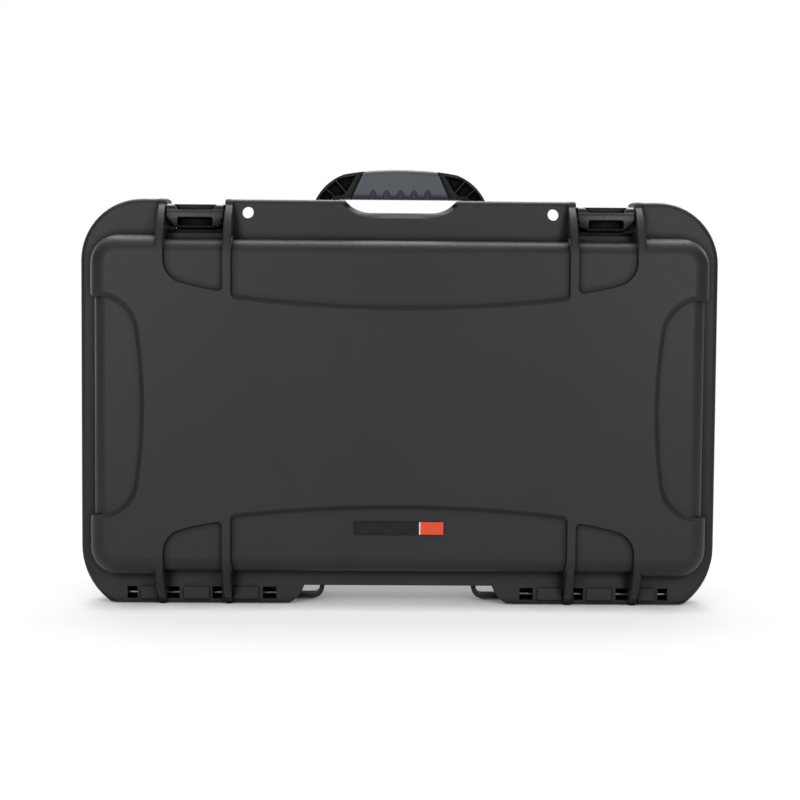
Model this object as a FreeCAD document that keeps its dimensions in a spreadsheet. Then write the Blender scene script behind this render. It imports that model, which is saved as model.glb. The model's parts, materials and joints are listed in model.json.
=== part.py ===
"""Hard carry case: hinged lid, two claw latches, carry handle, two wheels and a telescopic pull handle.

The case stands on its hinge side. X runs along its width, Y from the lid's face to the back, and Z up.
The origin is on the ground, midway along the width and the depth. Lengths are millimetres.
"""
import FreeCAD, Part
import math
import os
import Sketcher

SIZES = {
    # Whole case
    "case_width": 559,
    "case_height": 356,
    "case_depth": 229,
    "lid_depth": 50,
    "lid_brim": 20,
    "base_flange": 14,
    "flange_corner": 54.5,
    "flange_foot_corner": 62,
    "flange_lift": 1.5,
    "corner_trim": 12.5,
    "brim_round": 5,
    "flange_round": 4,
    "overrun": 2,
    "slide_gap": 0.3,
    "fit_gap": 0.1,
    # Dome of the lid
    "dome_side": 9,
    "dome_top": 30,
    "dome_bottom": 26,
    "dome_corner": 27,
    "dome_lean": 3.5,
    "dome_round": 17,
    "recess_depth": 3.6,
    "recess_step": 4.2,
    "lid_wall": 3.2,
    # Recesses on the dome
    "side_recess_reach": 51,
    "side_recess_margin": 51.5,
    "side_recess_bend": 34,
    "side_recess_flare": 37.5,
    "side_recess_bulge": 4.6,
    "long_recess_reach": 58,
    "long_recess_sag": 8.3,
    "long_recess_corner": 5,
    "latch_recess_reach": 50.5,
    "latch_recess_rise": 26,
    "latch_recess_corner": 4,
    # Ribs
    "rib_end": 71.9,
    "rib_pair": 58.1,
    "rib_width": 7,
    "rib_proud": 4,
    "rib_run": 20,
    "rib_bow": 6.5,
    "rib_tip": 5,
    "rib_round": 2,
    # Openings of the flanges
    "bay_drop": 26,
    "notch_top": 98,
    "notch_floor": 54,
    "notch_drop": 11,
    "notch_lip": 5,
    "padlock_set": 16,
    "padlock_drop": 11.6,
    "padlock_bore": 10.2,
    "padlock_skin": 8,
    "padlock_relief": 18,
    "raise_inset": 11,
    "raise_height": 17,
    "raise_slant": 12.5,
    # Seal and badge
    "seal_margin": 3,
    "seal_width": 4,
    "seal_depth": 4,
    "badge_width": 77,
    "badge_height": 11,
    "badge_thick": 0.8,
    "badge_set": 40,
    "badge_tile": 20.5,
    # Hinges
    "hinge_end": 36.5,
    "hinge_length": 149,
    "hinge_set": 10,
    "hinge_relief": 4,
    "hinge_height": 8.5,
    "hinge_pin": 4.5,
    "hinge_pin_margin": 4,
    "knuckle_round": 10,
    "knuckle_web": 6,
    "knuckle_gap": 0.8,
    "window_low": 4.5,
    "window_high": 15.2,
    "pad_proud": 1.4,
    # Base tub
    "tub_lean": 6.2,
    "tub_wall": 4.5,
    "foot_height": 3,
    "foot_length": 46,
    "foot_width": 14,
    "foot_inset": 62,
    "foot_gap": 2,
    "rib_reach": 84,
    "runner_end": 18,
    "runner_rise": 14,
    "skid_width": 29.5,
    "skid_lift": 2,
    "skid_thick": 4,
    "skid_turn": 10,
    # Carry handle
    "handle_width": 152,
    "handle_top": 30,
    "handle_thick": 14,
    "handle_shoulder": 2.5,
    "handle_crest": 4.5,
    "handle_crest_width": 100,
    "handle_arm": 14,
    "handle_web": 3,
    "handle_arm_drop": 6,
    "handle_pivot_drop": 18,
    "handle_pivot_set": 12.5,
    "handle_eye": 14,
    "handle_pin": 6,
    "lug_gap": 1,
    "lug_thick": 8,
    "lug_round": 16,
    "lug_root": 20,
    "grip_top": 65,
    "grip_slant": 11.2,
    "grip_height": 25,
    "grip_crown": 1.5,
    "grip_thick": 20,
    "grip_round": 5,
    "grip_pitch": 12.3,
    "grip_groove": 6.6,
    "grip_groove_start": 13.3,
    "core_width": 88,
    "core_height": 13,
    "core_thick": 8,
    # Latches
    "latch_gap": 1,
    "lever_pivot_set": 7.5,
    "lever_pivot_rise": 7,
    "lever_pin": 5,
    "lever_pin_seat": 4,
    "lever_hub": 12,
    "lever_web": 28,
    "lever_front": 6,
    "lever_length": 52,
    "lever_top": 21,
    "lever_low": 2,
    "lever_slope": 12,
    "lever_drop": 5,
    "lever_thick": 3,
    "lever_lip": 5,
    "lever_lip_thick": 3,
    "claw_pivot_back": 12,
    "claw_pivot_up": 9,
    "claw_pin": 4,
    "claw_eye": 9,
    "claw_arm": 9,
    "claw_nose": 9,
    "claw_nose_thick": 13,
    "claw_lift": 0.5,
    "claw_bow": 2,
    "claw_brow": 6,
    "claw_plate": 8,
    "claw_rear_gap": 2,
    "claw_notch": 30,
    "claw_notch_slant": 4,
    "claw_notch_height": 5,
    "claw_notch_depth": 9,
    "claw_pocket": 30.5,
    "claw_pocket_height": 7.6,
    "claw_pocket_lift": 1.3,
    "claw_pocket_depth": 9,
    "claw_pocket_corner": 1.5,
    "claw_cheek": 8,
    "claw_cheek_rise": 9,
    "slider_width": 16,
    "slider_length": 13,
    "slider_thick": 4,
    "slider_travel": 5,
    "slider_sink": 2,
    "slider_set": 5,
    # Pressure valve
    "valve_inset": 34.5,
    "valve_set": 44,
    "valve_boss": 26,
    "valve_boss_rise": 1.5,
    "valve_stem": 12,
    "valve_stem_length": 14,
    "valve_flange": 20,
    "valve_flange_thick": 3,
    "valve_cap": 15,
    "valve_cap_thick": 4,
    # Wheels
    "wheel_set": 34,
    "wheel_round": 60,
    "wheel_width": 22,
    "wheel_edge": 4,
    "hub_round": 42,
    "hub_width": 20,
    "hub_web": 5,
    "hub_rim": 4,
    "hub_boss": 20,
    "spoke_hole": 6,
    "bearing_round": 14,
    "bearing_width": 5,
    "axle_round": 8,
    "axle_seat": 8,
    "well_gap": 3,
    # Telescopic handle
    "channel_width": 136,
    "channel_depth": 24,
    "channel_start": 84,
    "tube_spacing": 100,
    "tube_set": 12.5,
    "outer_tube": 18,
    "outer_tube_wall": 1.2,
    "middle_tube": 15,
    "middle_tube_wall": 1.1,
    "inner_tube": 12.2,
    "inner_tube_wall": 1.1,
    "tube_step": 5,
    "clamp_length": 20,
    "clamp_width": 28,
    "clamp_height": 22,
    "clamp_web": 8,
    "collar_length": 18,
    "grip_bay": 50,
    "grip_bay_width": 150,
    "pull_grip": 130,
    "pull_grip_thick": 22,
    "pull_grip_depth": 20,
    "pull_grip_edge": 2,
    "pull_grip_corner": 8,
    "pull_grip_round": 5,
    "pull_seat": 14,
    "button_width": 30,
    "button_height": 10,
    "button_depth": 9,
    "button_proud": 1.5,
    "button_travel": 4,
    "screw_spacing": 46,
    "screw_head": 7,
    "screw_shank": 3.5,
    "screw_head_thick": 2.4,
    "screw_bite": 3,
}

# Places along one hinge, as shares of its length from the inner end
KNUCKLE_SHARES = ((0.198, 0.345), (0.490, 0.638), (0.792, 0.893))
WINDOW_SHARES = ((0.091, 0.171), (0.413, 0.470), (0.664, 0.765), (0.913, 0.973))
# Midpoint of a quarter circle, from the corner of its square and from the middle of its chord
QUARTER_SHARE = 1 - 0.5 ** 0.5
BOW_SHARE = 0.5 - QUARTER_SHARE
# Midpoint of the bends at the handle's notch, within their width and height
BEND_SHARES = (0.39, 0.67)
# Points on the edge of the recess beside a latch, within its width from the outer rib and its rise
LATCH_BEND_SHARES = ((0.10, 0.51), (0.30, 0.26), (0.60, 0.108))
# Rise of a side recess's ends across the dome's flank, as a share of their run
FLANK_SHARE = 1.6
# The step of a long recess beside the ribs, as a share of its step elsewhere
SIDE_STEP_SHARE = 0.3
# Pockets in the handle's shoulder, as shares of its half width and of its rise above the flange
TRUSS_SHARES = (
    ((0.755, 0.671), (0.711, 0.729), (0.520, 0.823), (0.636, 0.326)),
    ((0.872, 0.426), (0.768, 0.645), (0.649, 0.300), (0.687, 0.223), (0.774, 0.213)),
    ((0.883, 0.400), (0.793, 0.203), (0.836, 0.071), (0.955, 0.071), (0.945, 0.194)),
)
SHOULDER_SHARES = (0.87, 0.53)
LIP_ANGLE = 45
SPOKE_HOLES = 6
# The grip's grooves, as steps of their pitch from the middle
GROOVE_STEPS = (-2, -1, 0, 1, 2)


class Size:
    """A number together with the expression that works it out from the sheet."""

    def __init__(self, value, text):
        self.value = float(value)
        self.text = text

    def __add__(self, other):
        other = as_size(other)
        return Size(self.value + other.value, f"({self.text} + {other.text})")

    def __sub__(self, other):
        other = as_size(other)
        return Size(self.value - other.value, f"({self.text} - {other.text})")

    def __mul__(self, other):
        other = as_size(other)
        return Size(self.value * other.value, f"({self.text} * {other.text})")

    def __truediv__(self, other):
        other = as_size(other)
        return Size(self.value / other.value, f"({self.text} / {other.text})")

    def __neg__(self):
        return Size(-self.value, f"(-1 * {self.text})")

    def __radd__(self, other):
        return as_size(other) + self

    def __rsub__(self, other):
        return as_size(other) - self

    __rmul__ = __mul__


def as_size(item):
    return item if isinstance(item, Size) else Size(item, f"({float(item)})")


def slope(lean, run):
    """The angle in degrees of a wall that leans by one length over another."""
    return Size(math.degrees(math.atan2(lean.value, run.value)), f"atan({lean.text} / {run.text})")


class Sheet:
    """The driving sizes in a spreadsheet, each also an attribute of this object."""

    def __init__(self, document, sizes):
        page = document.addObject("Spreadsheet::Sheet", "sizes")
        for row, (name, value) in enumerate(sizes.items(), start=1):
            page.set(f"A{row}", name)
            page.set(f"B{row}", str(value))
            page.setAlias(f"B{row}", name)
            setattr(self, name, Size(value, f"sizes.{name}"))


doc = FreeCAD.newDocument("hard_case")
size = Sheet(doc, SIZES)
doc.recompute()
nodes = []

# Planes and edges that several pieces share
face_y = -size.case_depth / 2
back_y = size.case_depth / 2
parting = face_y + size.lid_depth
brim_y = parting - size.lid_brim
flange_y = parting + size.base_flange
tub_back = back_y - size.foot_height
half_width = size.case_width / 2
dome_half = half_width - size.dome_side
dome_low = size.dome_bottom
dome_high = size.case_height - size.dome_top
mid_z = (dome_low + dome_high) / 2
dome_rise = (dome_high - dome_low) / 2
lid_inset = size.recess_depth + size.lid_wall
bay_floor = size.case_height - size.bay_drop
rib_outer = half_width - size.rib_end
rib_inner = rib_outer - size.rib_pair
bay_inner = rib_inner + size.rib_width / 2
bay_outer = rib_outer - size.rib_width / 2
latch_x = (bay_inner + bay_outer) / 2
latch_width = bay_outer - bay_inner - size.latch_gap * 2
hinge_y = parting - size.hinge_set
hinge_outer = half_width - size.hinge_end
hinge_inner = hinge_outer - size.hinge_length
raise_half = hinge_inner - size.raise_inset
lever_y = flange_y + size.lever_pivot_set
lever_z = bay_floor + size.lever_pivot_rise
claw_y = lever_y + size.claw_pivot_back
claw_z = lever_z + size.claw_pivot_up
handle_y = flange_y + size.handle_pivot_set
handle_z = size.case_height - size.handle_pivot_drop
handle_crown = size.case_height + size.handle_top
grip_under = handle_crown - size.grip_crown - size.grip_height
channel_floor = tub_back - size.channel_depth
tube_y = channel_floor + size.tube_set
wheel_x = -half_width + size.wheel_round / 2
wheel_y = back_y - size.wheel_round / 2
valve_x = rib_inner - size.valve_inset
valve_y = flange_y + size.valve_set
dome_slope = slope(size.dome_lean, size.lid_depth)
tub_slope = slope(size.tub_lean, tub_back - parting)


class Via(tuple):
    """A point that an arc passes through, between two corners of an outline."""


def via(across, up):
    return Via((across, up))


def bind(item, **sizes):
    """Binds properties to the sheet."""
    for name, value in sizes.items():
        item.setExpression(name, as_size(value).text)
    return item


def place(item, x=0, y=0, z=0):
    """Binds the place of an object to the sheet."""
    for axis, value in (("x", x), ("y", y), ("z", z)):
        item.setExpression(f"Placement.Base.{axis}", as_size(value).text)
    return item


def spot(point):
    return FreeCAD.Vector(as_size(point[0]).value, as_size(point[1]).value, 0)


def add_outline(sketch, outline):
    """Draws one closed outline of lines and three-point arcs, with every point bound to the sheet."""
    corners = []
    bends = {}
    for point in outline:
        if isinstance(point, Via):
            bends[len(corners) - 1] = point
        else:
            corners.append(point)
    rules = []
    bound = []

    def pin(geometry, end, point):
        for kind, value in (("DistanceX", point[0]), ("DistanceY", point[1])):
            value = as_size(value)
            bound.append((len(rules), value.text))
            rules.append(Sketcher.Constraint(kind, -1, 1, geometry, end, value.value))

    curves = []
    for index, corner in enumerate(corners):
        start = spot(corner)
        end = spot(corners[(index + 1) % len(corners)])
        if index not in bends:
            curves.append((sketch.addGeometry(Part.LineSegment(start, end), False), 1))
            continue
        middle = spot(bends[index])
        leftward = (middle - start).cross(end - middle).z > 0
        arc = Part.Arc(start, middle, end) if leftward else Part.Arc(end, middle, start)
        curves.append((sketch.addGeometry(arc, False), 1 if leftward else 2))
    for index, (curve, first) in enumerate(curves):
        following, following_first = curves[(index + 1) % len(curves)]
        rules.append(Sketcher.Constraint("Coincident", curve, 3 - first, following, following_first))
        pin(curve, first, corners[index])
    for index, bend in bends.items():
        guide = sketch.addGeometry(Part.Point(spot(bend)), True)
        rules.append(Sketcher.Constraint("PointOnObject", guide, 1, curves[index][0]))
        pin(guide, 1, bend)
    first_row = sketch.addConstraint(rules)[0]
    for row, text in bound:
        sketch.setExpression(f"Constraints[{first_row + row}]", text)


def draw(body, plane, outlines, offset=0):
    """Draws outlines on one of the body's own planes, moved along that plane's normal."""
    sketch = body.newObject("Sketcher::SketchObject", f"{body.Name}_outline")
    support = [item for item in body.Origin.OriginFeatures if item.Role == plane][0]
    sketch.AttachmentSupport = [(support, "")]
    sketch.MapMode = "FlatFace"
    sketch.setExpression("AttachmentOffset.Base.z", as_size(offset).text)
    for outline in outlines:
        add_outline(sketch, outline)
    return sketch


def across(name, outlines, width):
    """A body whose outlines in Y and Z run evenly to both sides of X."""
    body = doc.addObject("PartDesign::Body", name)
    sketch = draw(body, "YZ_Plane", outlines)
    pad = body.newObject("PartDesign::Pad", f"{name}_pad")
    pad.Profile = sketch
    pad.SideType = "Symmetric"
    bind(pad, Length=width)
    return body


def deep(name, outlines, start, end, taper=0):
    """A body whose outlines in X and Z run from one Y to another, narrowing by the taper angle."""
    body = doc.addObject("PartDesign::Body", name)
    sketch = draw(body, "XZ_Plane", outlines, -as_size(start))
    pad = body.newObject("PartDesign::Pad", f"{name}_pad")
    pad.Profile = sketch
    pad.Reversed = end.value > as_size(start).value
    length = end - start if pad.Reversed else start - end
    bind(pad, Length=length)
    if as_size(taper).value:
        bind(pad, TaperAngle=-taper)
    return body


def spun(name, outline):
    """A body turned about Z, from an outline of radius and height."""
    body = doc.addObject("PartDesign::Body", name)
    sketch = draw(body, "XZ_Plane", [outline])
    turn = body.newObject("PartDesign::Revolution", f"{name}_turn")
    turn.Profile = sketch
    turn.ReferenceAxis = (sketch, ["V_Axis"])
    turn.Angle = 360
    return body


def rounded(body, radius, choose):
    """Rounds those edges of the body that the test chooses."""
    doc.recompute()
    base = body.Tip
    names = [f"Edge{number}" for number, edge in enumerate(base.Shape.Edges, start=1) if choose(edge)]
    fillet = body.newObject("PartDesign::Fillet", f"{body.Name}_round")
    fillet.Base = (base, names)
    bind(fillet, Radius=radius)
    return body


def at_depth(y):
    """A test for edges that lie wholly at one Y."""

    def chosen(edge):
        ends = (edge.BoundBox.YMin, edge.BoundBox.YMax)
        return all(abs(end - y.value) < size.fit_gap.value for end in ends)

    return chosen


def block(name, x, y, z):
    """A box between two ends along each axis."""
    box = doc.addObject("Part::Box", name)
    bind(box, Length=x[1] - x[0], Width=y[1] - y[0], Height=z[1] - z[0])
    return place(box, x[0], y[0], z[0])


TURNS = {
    "x": FreeCAD.Rotation(FreeCAD.Vector(0, 1, 0), 90),
    "y": FreeCAD.Rotation(FreeCAD.Vector(1, 0, 0), -90),
    "z": FreeCAD.Rotation(),
    "slant": FreeCAD.Rotation(FreeCAD.Vector(1, 0, 0), -150),
}


def rod(name, axis, start, length, diameter):
    """A round bar from a point along one axis, or steeply down and back."""
    bar = doc.addObject("Part::Cylinder", name)
    bar.Placement.Rotation = TURNS[axis]
    bind(bar, Radius=diameter / 2, Height=length)
    return place(bar, *start)


def fuse(name, shapes):
    joined = doc.addObject("Part::MultiFuse", name)
    joined.Shapes = shapes
    return joined


def cut(name, base, tools):
    less = doc.addObject("Part::Cut", name)
    less.Base = base
    less.Tool = tools[0] if len(tools) == 1 else fuse(f"{name}_tools", tools)
    return less


def keep(item, label):
    """Hands a finished piece in under its own label."""
    item.Label = label
    nodes.append(item)
    return item


def rounded_area(left, right, low, high, corner):
    """A rectangle with round corners."""
    bend = corner * QUARTER_SHARE
    return [
        (left, low + corner), (left, high - corner), via(left + bend, high - bend),
        (left + corner, high), (right - corner, high), via(right - bend, high - bend),
        (right, high - corner), (right, low + corner), via(right - bend, low + bend),
        (right - corner, low), (left + corner, low), via(left + bend, low + bend),
    ]


def rounded_box(half, low, high, corner):
    """A rectangle centred on X, from low to high, with round corners."""
    return rounded_area(-half, half, low, high, corner)


def dome_outline(inset):
    return rounded_box(dome_half - inset, dome_low + inset, dome_high - inset, size.dome_corner - inset)


def dome(name, inset, start, end, draft, edge_round):
    """A drafted, round-edged pillow on the outline of the dome, moved inwards by the inset."""
    body = deep(name, [dome_outline(inset)], start, end, draft)
    return rounded(body, edge_round, at_depth(end))


def recess(name, outline):
    """The space above one recess: a sloped step at the face, then straight to the parting plane."""
    step_end = face_y + size.recess_depth
    body = doc.addObject("PartDesign::Body", name)
    wide = draw(body, "XZ_Plane", [outline(as_size(0))], -face_y)
    narrow = draw(body, "XZ_Plane", [outline(size.recess_step)], -step_end)
    slope = body.newObject("PartDesign::AdditiveLoft", f"{name}_slope")
    slope.Profile = wide
    slope.Sections = [narrow]
    slope.Ruled = True
    straight = body.newObject("PartDesign::Pad", f"{name}_straight")
    straight.Profile = narrow
    straight.Reversed = True
    bind(straight, Length=size.lid_depth - size.recess_depth)
    return body


def side_recess(name, side):
    """The D-shaped recess at one end of the dome."""

    def outline(inset):
        flat = dome_rise - size.side_recess_margin - size.side_recess_bend
        mouth = dome_rise - size.side_recess_margin - inset
        crest = dome_half - size.side_recess_reach + inset
        shoulder = crest + size.side_recess_bulge
        edge = shoulder + size.side_recess_flare
        middle = (shoulder + edge) / 2 - size.side_recess_flare * BOW_SHARE
        bend = (flat + mouth) / 2 + (mouth - flat) * BOW_SHARE
        outside = half_width + size.overrun + size.recess_step
        reach = mouth + (outside - edge) * FLANK_SHARE
        return [
            (edge * side, mid_z + mouth), via(middle * side, mid_z + bend), (shoulder * side, mid_z + flat),
            via(crest * side, mid_z), (shoulder * side, mid_z - flat), via(middle * side, mid_z - bend),
            (edge * side, mid_z - mouth), (outside * side, mid_z - reach), (outside * side, mid_z + reach),
        ]

    return recess(name, outline)


def long_recess(name, side):
    """The recess between the inner ribs, above or below the middle of the face."""

    def outline(inset):
        half = rib_inner - size.rib_width / 2 - inset * SIDE_STEP_SHARE
        corner = size.long_recess_corner
        bend = corner * QUARTER_SHARE
        edge = mid_z + (dome_rise - size.long_recess_reach + inset) * side
        crest = edge - size.long_recess_sag * side
        outside = mid_z + size.case_height / 2 * side
        return [
            (-half, outside), (-half, edge + corner * side), via(bend - half, edge + bend * side),
            (corner - half, edge), via(0, crest), (half - corner, edge), via(half - bend, edge + bend * side),
            (half, edge + corner * side), (half, outside),
        ]

    return recess(name, outline)


def latch_recess(name, side, level):
    """The pocket between the two ribs of one latch or hinge, above or below the middle of the face."""
    corner = size.latch_recess_corner
    bend = corner * QUARTER_SHARE
    edge = mid_z + (dome_rise - size.latch_recess_reach) * level
    high = edge + size.latch_recess_rise * level
    outside = mid_z + size.case_height / 2 * level
    steep, knee, flat = [((bay_outer - (bay_outer - bay_inner) * run_share) * side,
                          edge + size.latch_recess_rise * rise_share * level)
                         for run_share, rise_share in LATCH_BEND_SHARES]
    return deep(name, [[
        (bay_outer * side, outside), (bay_outer * side, high), via(*steep), knee, via(*flat),
        ((bay_inner + corner) * side, edge), via((bay_inner + bend) * side, edge + bend * level),
        (bay_inner * side, edge + corner * level), (bay_inner * side, outside),
    ]], face_y, parting)


def rounded_rib(body):
    """Rounds a rib's outer edges, but not where it meets the parting plane or ends inside the tub or dome."""
    roots = (dome_high - size.rib_run, dome_low + size.rib_run)

    def chosen(edge):
        box = edge.BoundBox
        tolerance = size.fit_gap.value
        on_side = box.XLength < tolerance
        at_parting = box.YLength < tolerance and abs(box.YMin - parting.value) < tolerance
        at_root = box.ZLength < tolerance and any(abs(box.ZMin - root.value) < tolerance for root in roots)
        return on_side and not at_parting and not at_root

    return rounded(body, size.rib_round, chosen)


def lid_rib(name):
    """The two gussets in one plane that carry the dome's edge over the brim, at the top and the bottom."""
    outlines = []
    for tip, root, up in ((size.case_height, dome_high, -1), (as_size(0), dome_low, 1)):
        run = root + size.rib_run * up
        front = brim_y - size.rib_proud
        tip_bend = size.rib_tip * QUARTER_SHARE
        middle = (front + face_y) / 2 - size.rib_bow
        outlines.append([
            (parting, tip), (front + size.rib_tip, tip), via(front + tip_bend, tip + tip_bend * up),
            (front, tip + size.rib_tip * up), via(middle, (tip + size.rib_tip * up + run) / 2),
            (face_y, run), (parting, run),
        ])
    return rounded_rib(across(name, outlines, size.rib_width))


def flange(name, start, end, edge_round):
    """The rim round one half of the case, with the outline that both halves share."""
    low = size.flange_lift - size.corner_trim
    high = size.case_height
    foot, crown = size.flange_foot_corner, size.flange_corner
    foot_bend, crown_bend = foot * QUARTER_SHARE, crown * QUARTER_SHARE
    outline = [
        (-half_width, low + foot), via(foot_bend - half_width, low + foot_bend), (foot - half_width, low),
        (half_width - foot, low), via(half_width - foot_bend, low + foot_bend), (half_width, low + foot),
        (half_width, high - crown), via(half_width - crown_bend, high - crown_bend),
        (half_width - crown, high), (crown - half_width, high),
        via(crown_bend - half_width, high - crown_bend), (-half_width, high - crown),
    ]
    return rounded(deep(name, [outline], start, end), edge_round, at_depth(end))


def notch_outline(spread):
    """The handle's notch in the top of the flange, widened all round by the spread."""
    top = size.notch_top / 2 + spread
    floor = size.notch_floor / 2 + spread * BEND_SHARES[0]
    low = size.case_height - size.notch_drop - spread
    middle = top - (top - floor) * BEND_SHARES[0]
    half_way = size.case_height - (size.case_height - low) * BEND_SHARES[1]
    above = size.case_height + size.overrun
    return [
        (-top, above), (-top, size.case_height), via(-middle, half_way), (-floor, low),
        (floor, low), via(middle, half_way), (top, size.case_height), (top, above),
    ]


def raise_outline():
    """The gap below the middle of the flange, between the two hinges."""
    half = raise_half
    foot = half + size.raise_slant
    middle = half + size.raise_slant * QUARTER_SHARE
    rise = (size.flange_lift + size.raise_height) / 2
    return [
        (-foot, -size.overrun), (-foot, size.flange_lift), via(-middle, rise), (-half, size.raise_height),
        (half, size.raise_height), via(middle, rise), (foot, size.flange_lift), (foot, -size.overrun),
    ]


def bay_ends(side):
    """Two ends along X of one latch's bay."""
    return (bay_inner, bay_outer) if side > 0 else (-bay_outer, -bay_inner)


def padlock_hole(name, side, start, end, diameter):
    place_z = size.case_height - size.padlock_drop
    return rod(name, "y", ((rib_inner - size.padlock_set) * side, start, place_z), end - start, diameter)


def flange_cuts(name, start, end, relief):
    """What both flanges leave open: latch bays, handle notch, gap between the hinges and padlock reliefs."""
    outside = half_width + size.overrun
    depth = (start, end)
    tools = [
        block(f"{name}_trim", (-outside, outside), depth, (-size.flange_foot_corner, size.flange_lift)),
        deep(f"{name}_raise", [raise_outline()], start, end),
        deep(f"{name}_notch", [notch_outline(as_size(0))], start, end),
    ]
    for word, side in (("left", -1), ("right", 1)):
        tools.append(block(f"{name}_bay_{word}", bay_ends(side), depth,
                           (bay_floor, size.case_height + size.overrun)))
        tools.append(padlock_hole(f"{name}_relief_{word}", side, relief, end, size.padlock_relief))
    return tools


def hinge_ends(side, shares):
    """Two ends along X of one stretch of a hinge."""
    near = (hinge_inner + size.hinge_length * shares[0]) * side
    far = (hinge_inner + size.hinge_length * shares[1]) * side
    return (near, far) if side > 0 else (far, near)


def hinge_bore(name, side):
    start = (hinge_inner if side > 0 else -hinge_outer) + size.hinge_pin_margin
    length = size.hinge_length - size.hinge_pin_margin * 2
    return rod(name, "x", (start, hinge_y, size.hinge_height), length, size.hinge_pin + size.fit_gap * 2)


def mouth_ring(name, inner, outer, start, end):
    """A frame round the lid's mouth, between two distances from the mouth's edge."""
    return deep(name, [dome_outline(lid_inset - inner), dome_outline(lid_inset - outer)], start, end)


def build_lid():
    """The lid: stepped dome, brim, ribs and hinge lugs, hollow and grooved for the seal."""
    tall = dome("dome_tall", as_size(0), parting, face_y, dome_slope, size.dome_round)
    low = dome("dome_low", size.recess_depth, parting, face_y + size.recess_depth, dome_slope,
               size.dome_round - size.recess_depth)
    hollow = dome("lid_hollow", lid_inset, parting, face_y + lid_inset, dome_slope,
                  size.dome_round - lid_inset)
    spaces = []
    for word, side in (("left", -1), ("right", 1)):
        spaces.append(side_recess(f"recess_{word}", side))
        spaces.append(latch_recess(f"recess_latch_{word}", side, 1))
        spaces.append(latch_recess(f"recess_hinge_{word}", side, -1))
    spaces.append(long_recess("recess_top", 1))
    spaces.append(long_recess("recess_bottom", -1))
    front = brim_y - size.overrun
    skin_end = brim_y + size.padlock_skin
    brim_tools = flange_cuts("lid_open", front, parting + size.overrun, skin_end)
    brim_tools.append(deep("lid_notch_lip", [notch_outline(size.notch_lip + size.overrun)], front,
                           brim_y + size.notch_lip, LIP_ANGLE))
    pads = []
    late_tools = [hollow, mouth_ring("seal_groove", size.seal_margin, size.seal_margin + size.seal_width,
                                     parting - size.seal_depth, parting + size.overrun)]
    for word, side in (("left", -1), ("right", 1)):
        brim_tools.append(padlock_hole(f"padlock_{word}", side, front, skin_end, size.padlock_bore))
        brim_tools.append(block(f"claw_room_{word}", bay_ends(side),
                                (front, parting - size.seal_depth - size.lid_wall),
                                (dome_high, bay_floor + size.overrun)))
        for number, shares in enumerate(WINDOW_SHARES, start=1):
            brim_tools.append(block(f"window_{word}_{number}", hinge_ends(side, shares),
                                    (front, parting + size.overrun), (size.window_low, size.window_high)))
        for number, shares in enumerate(KNUCKLE_SHARES, start=1):
            ends = hinge_ends(side, shares)
            pad_depth = (brim_y - size.pad_proud, brim_y + size.pad_proud)
            pads.append(block(f"pad_{word}_{number}", ends, pad_depth, (size.window_low, size.window_high)))
            room = size.knuckle_round / 2 + size.knuckle_gap
            late_tools.append(block(
                f"pocket_{word}_{number}", (ends[0] - size.knuckle_gap, ends[1] + size.knuckle_gap),
                (hinge_y - room, parting + size.overrun), (-size.overrun, size.hinge_height + room)))
        late_tools.append(hinge_bore(f"lid_bore_{word}", side))
    late_tools.append(across("hinge_relief", [[
        (parting - size.slide_gap, size.hinge_height), (parting + size.overrun, size.hinge_height),
        (parting + size.overrun, -size.overrun), (hinge_y + size.hinge_relief, -size.overrun),
    ]], size.case_width))
    brim = cut("lid_brim_open", flange("lid_brim_solid", parting, brim_y, size.brim_round), brim_tools)
    ribs = []
    for word, x in (("outer", rib_outer), ("inner", rib_inner)):
        for name, side in (("left", -1), ("right", 1)):
            ribs.append(place(lid_rib(f"lid_rib_{word}_{name}"), x * side))
    skin = fuse("lid_skin", [cut("dome_stepped", tall, spaces), low, brim] + ribs + pads)
    keep(cut("lid_whole", skin, late_tools), "lid_shell")
    gap = size.fit_gap
    seal = mouth_ring("seal_ring", size.seal_margin + gap, size.seal_margin + size.seal_width - gap,
                      parting - size.seal_depth, parting - size.slide_gap)
    keep(seal, "lid_seal")


def build_badge():
    """The bare name plate on the lower recess: a dark plate and a coloured tile beside it."""
    left = -size.badge_width / 2
    split = size.badge_width / 2 - size.badge_tile
    depth = (face_y + size.recess_depth - size.badge_thick, face_y + size.recess_depth)
    low = dome_low + size.badge_set
    height = (low, low + size.badge_height)
    keep(block("badge_dark", (left, split), depth, height), "badge_plate")
    keep(block("badge_colour", (split, size.badge_width / 2), depth, height), "badge_tile")


def base_rib(name):
    """One rib of the base: a gusset behind the flange at the top, and a runner under the tub."""
    gusset_end = flange_y + size.rib_reach
    gusset_root = dome_high - size.rib_run
    bend = size.rib_tip * QUARTER_SHARE
    runner_end = back_y - size.runner_end
    runner_root = dome_low + size.rib_run
    return rounded_rib(across(name, [
        [(parting, size.case_height), (flange_y, size.case_height),
         via(flange_y + size.rib_tip - bend, size.case_height - bend),
         (flange_y + size.rib_tip, size.case_height - size.rib_tip),
         (gusset_end, gusset_root), (parting, gusset_root)],
        [(parting, 0), (runner_end - size.runner_rise, 0), (runner_end, size.runner_rise),
         (runner_end, runner_root), (parting, runner_root)],
    ], size.rib_width))


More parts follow.
